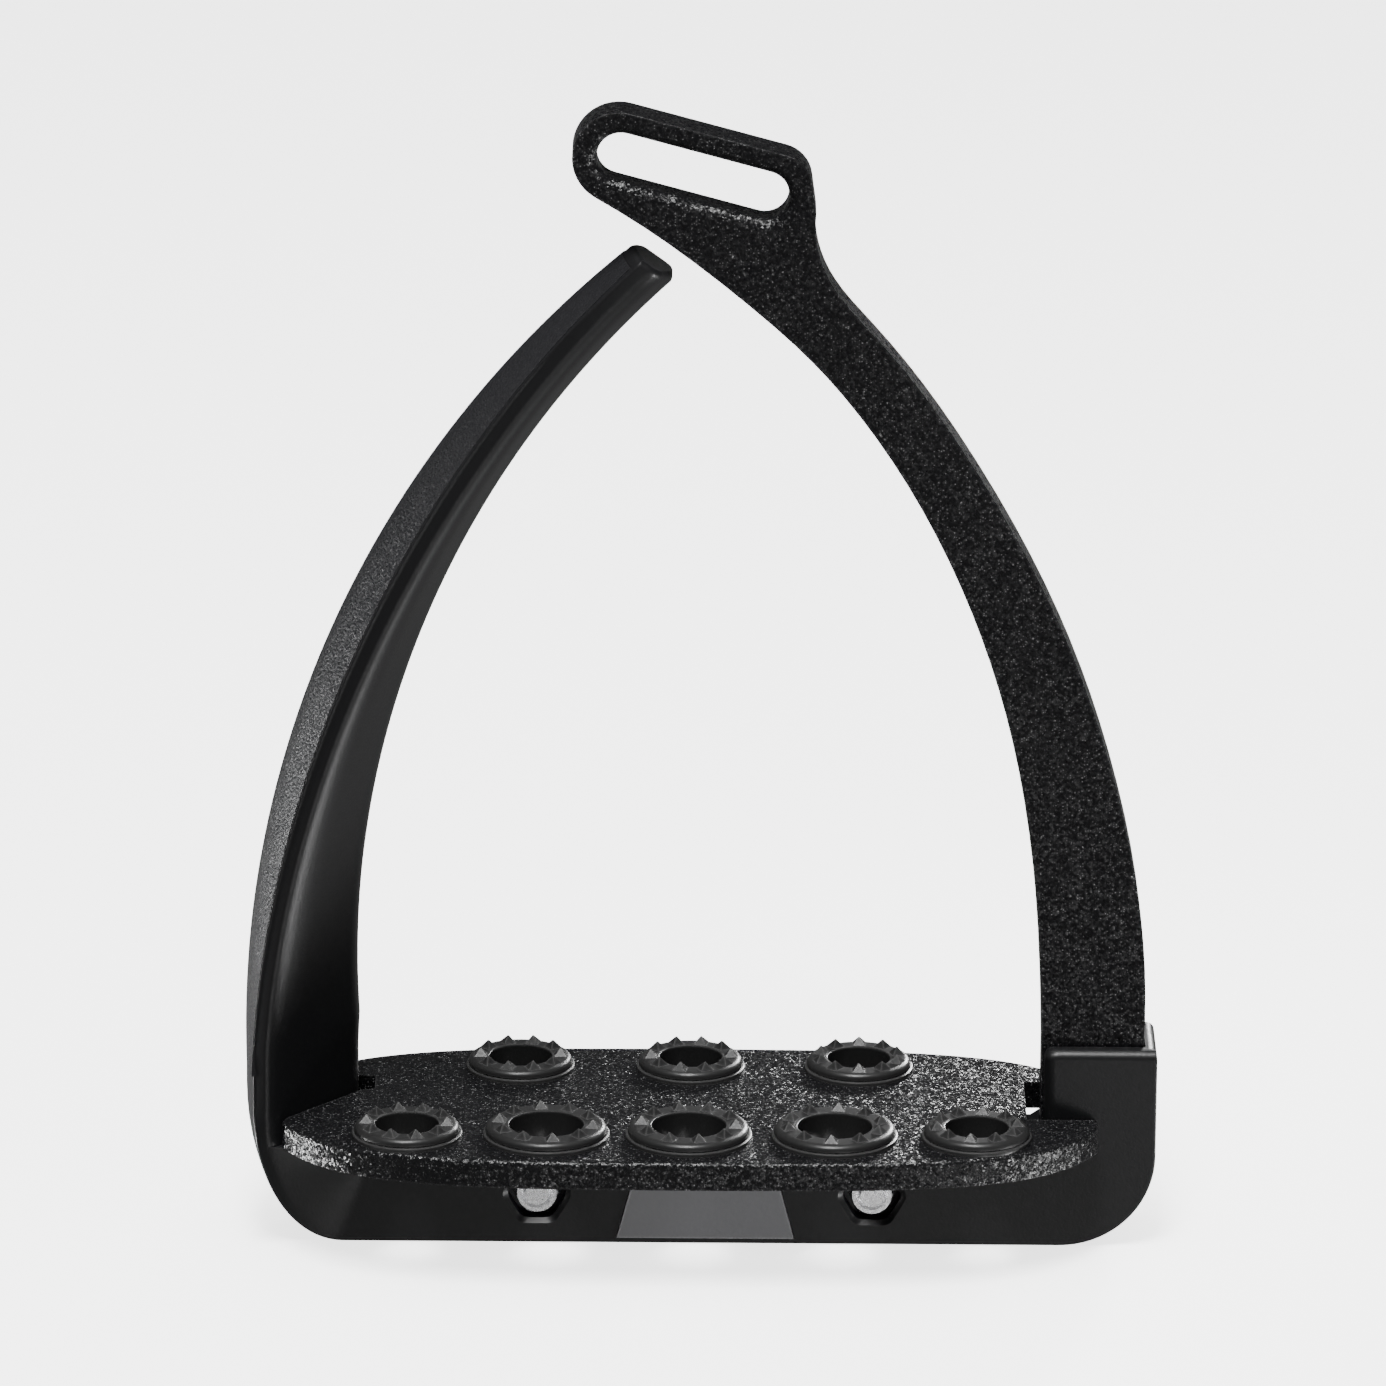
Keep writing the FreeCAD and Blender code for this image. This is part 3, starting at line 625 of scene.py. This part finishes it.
def coat(name, colour, roughness, grain, bump, painted_glint, wear_and_sheen, glitter=0.0):
    """Coating with a grain, cells tilted at random, light dots painted in as glints, and edges made
    slightly lighter, partly as wear and partly as a painted edge highlight.
    """
    material = bpy.data.materials.new(name)
    material.use_nodes = True
    tree = material.node_tree
    nodes, links = tree.nodes, tree.links
    shader = nodes["Principled BSDF"]
    where = nodes.new("ShaderNodeTexCoord")
    noise = nodes.new("ShaderNodeTexNoise")
    noise.inputs["Scale"].default_value = grain
    noise.inputs["Detail"].default_value = 3.0
    links.new(where.outputs["Object"], noise.inputs["Vector"])
    height = nodes.new("ShaderNodeBump")
    height.inputs["Strength"].default_value = bump
    height.inputs["Distance"].default_value = BUMP_HEIGHT * MM
    links.new(noise.outputs["Fac"], height.inputs["Height"])
    glint_cells = nodes.new("ShaderNodeTexVoronoi")
    glint_cells.inputs["Scale"].default_value = grain * GLINT_CELL_SCALE
    links.new(where.outputs["Object"], glint_cells.inputs["Vector"])
    tilt = nodes.new("ShaderNodeVectorMath")
    tilt.operation = "MULTIPLY_ADD"
    tilt.inputs[1].default_value = (glitter, glitter, glitter)
    tilt.inputs[2].default_value = (-glitter / 2, -glitter / 2, -glitter / 2)
    links.new(glint_cells.outputs["Color"], tilt.inputs[0])
    tilted = nodes.new("ShaderNodeVectorMath")
    tilted.operation = "ADD"
    links.new(height.outputs["Normal"], tilted.inputs[0])
    links.new(tilt.outputs["Vector"], tilted.inputs[1])
    unit = nodes.new("ShaderNodeVectorMath")
    unit.operation = "NORMALIZE"
    links.new(tilted.outputs["Vector"], unit.inputs[0])
    links.new(unit.outputs["Vector"], shader.inputs["Normal"])
    # Light dots on a random few cells: painted glints, standing in for light glancing off the coat's
    # grains
    painted_glint_dots = nodes.new("ShaderNodeMapRange")
    painted_glint_dots.inputs["From Min"].default_value = PAINTED_GLINT_CORE
    painted_glint_dots.inputs["From Max"].default_value = PAINTED_GLINT_RIM
    painted_glint_dots.inputs["To Min"].default_value = painted_glint
    painted_glint_dots.inputs["To Max"].default_value = 0.0
    links.new(glint_cells.outputs["Distance"], painted_glint_dots.inputs["Value"])
    chance = nodes.new("ShaderNodeSeparateColor")
    links.new(glint_cells.outputs["Color"], chance.inputs["Color"])
    some = nodes.new("ShaderNodeMath")
    some.operation = "POWER"
    some.inputs[1].default_value = PAINTED_GLINT_RARITY
    links.new(chance.outputs["Red"], some.inputs[0])
    painted_glints = nodes.new("ShaderNodeMath")
    painted_glints.operation = "MULTIPLY"
    links.new(painted_glint_dots.outputs["Result"], painted_glints.inputs[0])
    links.new(some.outputs["Value"], painted_glints.inputs[1])
    # Edges turned a little lighter: partly wear, partly a painted edge highlight
    edge = nodes.new("ShaderNodeBevel")
    edge.inputs["Radius"].default_value = WEAR_AND_SHEEN_EDGE * MM
    geometry = nodes.new("ShaderNodeNewGeometry")
    facing = nodes.new("ShaderNodeVectorMath")
    facing.operation = "DOT_PRODUCT"
    links.new(edge.outputs["Normal"], facing.inputs[0])
    links.new(geometry.outputs["Normal"], facing.inputs[1])
    edge_wear_and_sheen = nodes.new("ShaderNodeMapRange")
    edge_wear_and_sheen.inputs["From Min"].default_value = FACING_FLAT
    edge_wear_and_sheen.inputs["From Max"].default_value = FACING_EDGE
    edge_wear_and_sheen.inputs["To Min"].default_value = 0.0
    edge_wear_and_sheen.inputs["To Max"].default_value = wear_and_sheen
    links.new(facing.outputs["Value"], edge_wear_and_sheen.inputs["Value"])
    bright = nodes.new("ShaderNodeMath")
    bright.operation = "ADD"
    bright.use_clamp = True
    links.new(painted_glints.outputs["Value"], bright.inputs[0])
    links.new(edge_wear_and_sheen.outputs["Result"], bright.inputs[1])
    tint = nodes.new("ShaderNodeMix")
    tint.data_type = "RGBA"
    tint.inputs["A"].default_value = (*colour, 1)
    lighter = [min(1.0, c * BRIGHT_FACTOR + BRIGHT_LIFT) for c in colour]
    tint.inputs["B"].default_value = (*lighter, 1)
    links.new(bright.outputs["Value"], tint.inputs["Factor"])
    links.new(tint.outputs["Result"], shader.inputs["Base Color"])
    rough = nodes.new("ShaderNodeMapRange")
    rough.inputs["To Min"].default_value = max(ROUGH_LEAST, roughness - ROUGH_SPREAD)
    rough.inputs["To Max"].default_value = min(1.0, roughness + ROUGH_SPREAD)
    links.new(noise.outputs["Fac"], rough.inputs["Value"])
    links.new(rough.outputs["Result"], shader.inputs["Roughness"])
    shader.inputs["Specular IOR Level"].default_value = COAT_SPECULAR
    return material


def metal(name, colour, roughness):
    """Metal with a fine even grain."""
    material = coat(name, colour, roughness, METAL_GRAIN, METAL_BUMP, 0.0, METAL_WEAR_AND_SHEEN)
    material.node_tree.nodes["Principled BSDF"].inputs["Metallic"].default_value = 1.0
    return material


# Coats: colour, roughness, grain, bump, painted glints, edge wear and painted edge highlight, glitter
MATERIALS = {
    "satin_polymer": coat("satin_polymer", (0.005, 0.005, 0.0055), 0.42, 2200.0, 0.10, 0.0, 0.01),
    "grip_strip": coat("grip_strip", (0.006, 0.006, 0.007), 0.50, 2100.0, 0.6, 0.02, 0.01, 0.22),
    "arm_coat": coat("arm_coat", (0.003, 0.003, 0.0035), 0.30, 1900.0, 0.6, 0.30, 0.06, 0.62),
    "tread_coat": coat("tread_coat", (0.004, 0.004, 0.0045), 0.28, 1700.0, 0.6, 0.40, 0.06, 0.48),
    "cleat_black": coat("cleat_black", (0.012, 0.012, 0.012), 0.36, 2600.0, 0.08, 0.0, 0.10),
    "retainer_steel": metal("retainer_steel", (0.08, 0.08, 0.085), 0.4),
    "bright_steel": metal("bright_steel", (0.90, 0.90, 0.91), 0.26),
    "spring_steel": metal("spring_steel", (0.40, 0.41, 0.43), 0.35),
    "badge_grey": metal("badge_grey", (0.15, 0.15, 0.155), 0.42),
}


def paint(obj, slot):
    obj.data.materials.clear()
    obj.data.materials.append(MATERIALS[slot])


def record_slot(node):
    """Material slot of a node, from the frame's record."""
    for entry in frame["record"]["subparts"]:
        if entry["node"] == node:
            return entry["material_slot"]
    raise ValueError(node)


# Assembly ----------------------------------------------------------------

# Edge rounding in mm of pieces that come straight from the frame
CARRIED_BEVELS = {
    "tread_plate": 0.6, "badge_plate": 0.15, "cross_bolt_left": 0.3, "cross_bolt_right": 0.3,
}

for node, obj in frame["nodes"].items():
    paint(obj, record_slot(node))
    if node in CARRIED_BEVELS:
        bevel(obj, CARRIED_BEVELS[node])

skin = polymer_skin()
paint(skin, "satin_polymer")
smooth(skin)
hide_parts("base_housing", "outer_arm")
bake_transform(skin)

strip = grip_strip()
paint(strip, "grip_strip")
smooth(strip)
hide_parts("outer_arm_cover")
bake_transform(strip)

arm = rigid_arm()
bevel(arm, RIGID_ARM_EDGE)
paint(arm, "arm_coat")
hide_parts("inner_arm")
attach(arm, "base")

for name, (turn, sizes) in CLEATS.items():
    ring = cleat(name, turn, sizes)
    paint(ring, "cleat_black")
    smooth(ring, CLEAT_SHARP)
    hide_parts("cleat_" + name)
    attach(ring, "base")

for side, (x, z) in zip(("left", "right"), fastener_places()):
    nut = hex_nut(side, x, z)
    paint(nut, "bright_steel")
    smooth(nut, NUT_SHARP)
    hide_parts("hex_nut_" + side)
    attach(nut, "base")


# Studio ------------------------------------------------------------------


def area_light(name, place, target, size, power, spread=180.0):
    """Rectangular light in metres and watts, aimed at a target, its spread in degrees."""
    data = bpy.data.lights.new(name, "AREA")
    data.shape = "RECTANGLE"
    data.size, data.size_y = size
    data.energy = power
    data.spread = math.radians(spread)
    obj = bpy.data.objects.new(name, data)
    obj.visible_camera = False
    bpy.context.scene.collection.objects.link(obj)
    obj.location = place
    obj.rotation_euler = (Vector(target) - Vector(place)).to_track_quat("-Z", "Y").to_euler()
    return obj


def stage_piece(name, bm, glow):
    """Pale stage surface with a glow of its own, like a light table."""
    obj = mesh_object(name, bm)
    material = bpy.data.materials.new(name)
    material.use_nodes = True
    shader = material.node_tree.nodes["Principled BSDF"]
    shader.inputs["Base Color"].default_value = (0.9, 0.9, 0.9, 1)
    shader.inputs["Roughness"].default_value = 0.9
    shader.inputs["Emission Color"].default_value = (1, 1, 1, 1)
    shader.inputs["Emission Strength"].default_value = glow
    obj.data.materials.append(material)
    obj.visible_glossy = False
    obj.visible_diffuse = False
    obj.visible_shadow = False


def surroundings():
    """Dim above the horizon and brighter below it, like a room with a pale floor."""
    world = bpy.data.worlds.new("studio")
    world.use_nodes = True
    tree = world.node_tree
    where = tree.nodes.new("ShaderNodeTexCoord")
    split = tree.nodes.new("ShaderNodeSeparateXYZ")
    tree.links.new(where.outputs["Generated"], split.inputs["Vector"])
    level = tree.nodes.new("ShaderNodeMapRange")
    level.inputs["From Min"].default_value = HORIZON_HIGH
    level.inputs["From Max"].default_value = HORIZON_LOW
    level.inputs["To Min"].default_value = SKY_GLOW
    level.inputs["To Max"].default_value = GROUND_GLOW
    tree.links.new(split.outputs["Z"], level.inputs["Value"])
    background = tree.nodes["Background"]
    background.inputs["Color"].default_value = (1, 1, 1, 1)
    tree.links.new(level.outputs["Result"], background.inputs["Strength"])
    return world


def studio():
    """Floor, backdrop, world and lights."""
    bm = bmesh.new()
    bmesh.ops.create_grid(bm, x_segments=1, y_segments=1, size=FLOOR_REACH)
    stage_piece("floor", bm, FLOOR_GLOW)
    bm = bmesh.new()
    bmesh.ops.create_icosphere(bm, subdivisions=5, radius=BACKDROP_RADIUS)
    stage_piece("backdrop", bm, BACKDROP_GLOW)
    bpy.context.scene.world = surroundings()
    middle, tread = (0.0, 0.0, 0.09), (0.04, 0.0, 0.02)
    top = area_light("top", (0.0, 0.15, 1.9), middle, (2.2, 1.8), 50.0)
    top.visible_glossy = False
    area_light("back", (0.24, 0.55, 0.235), tread, (0.12, 0.10), 0.09, 22.0)
    area_light("left", (-1.2, 0.25, -0.30), (-0.07, 0.0, 0.03), (0.35, 0.25), 0.45, 12.0)
    area_light("right", (1.0, -0.30, -0.33), (0.07, 0.0, 0.10), (0.30, 0.30), 0.4, 24.0)
    area_light("front", (0.45, -1.20, -0.42), (0.06, 0.0, 0.02), (0.40, 0.30), 0.07, 16.0)
    area_light("key", (-0.08, -0.42, 1.30), middle, (0.26, 0.60), 36.0)


def camera():
    """Long lens, 20 degrees above the foot plate, as the object is usually shown."""
    elevation = math.radians(CAMERA_ELEVATION)
    data = bpy.data.cameras.new("camera")
    data.sensor_width = CAMERA_SENSOR
    data.lens = CAMERA_LENS
    data.clip_end = CAMERA_REACH
    obj = bpy.data.objects.new("camera", data)
    bpy.context.scene.collection.objects.link(obj)
    obj.location = (
        CAMERA_X,
        -CAMERA_DISTANCE * math.cos(elevation),
        CAMERA_AIM_Z + CAMERA_DISTANCE * math.sin(elevation),
    )
    pitch = Matrix.Rotation(math.radians(90.0 - CAMERA_PITCH), 4, "X")
    roll = Matrix.Rotation(math.radians(CAMERA_ROLL), 4, "Z")
    obj.rotation_euler = (pitch @ roll).to_euler()
    bpy.context.scene.camera = obj


studio()
camera()
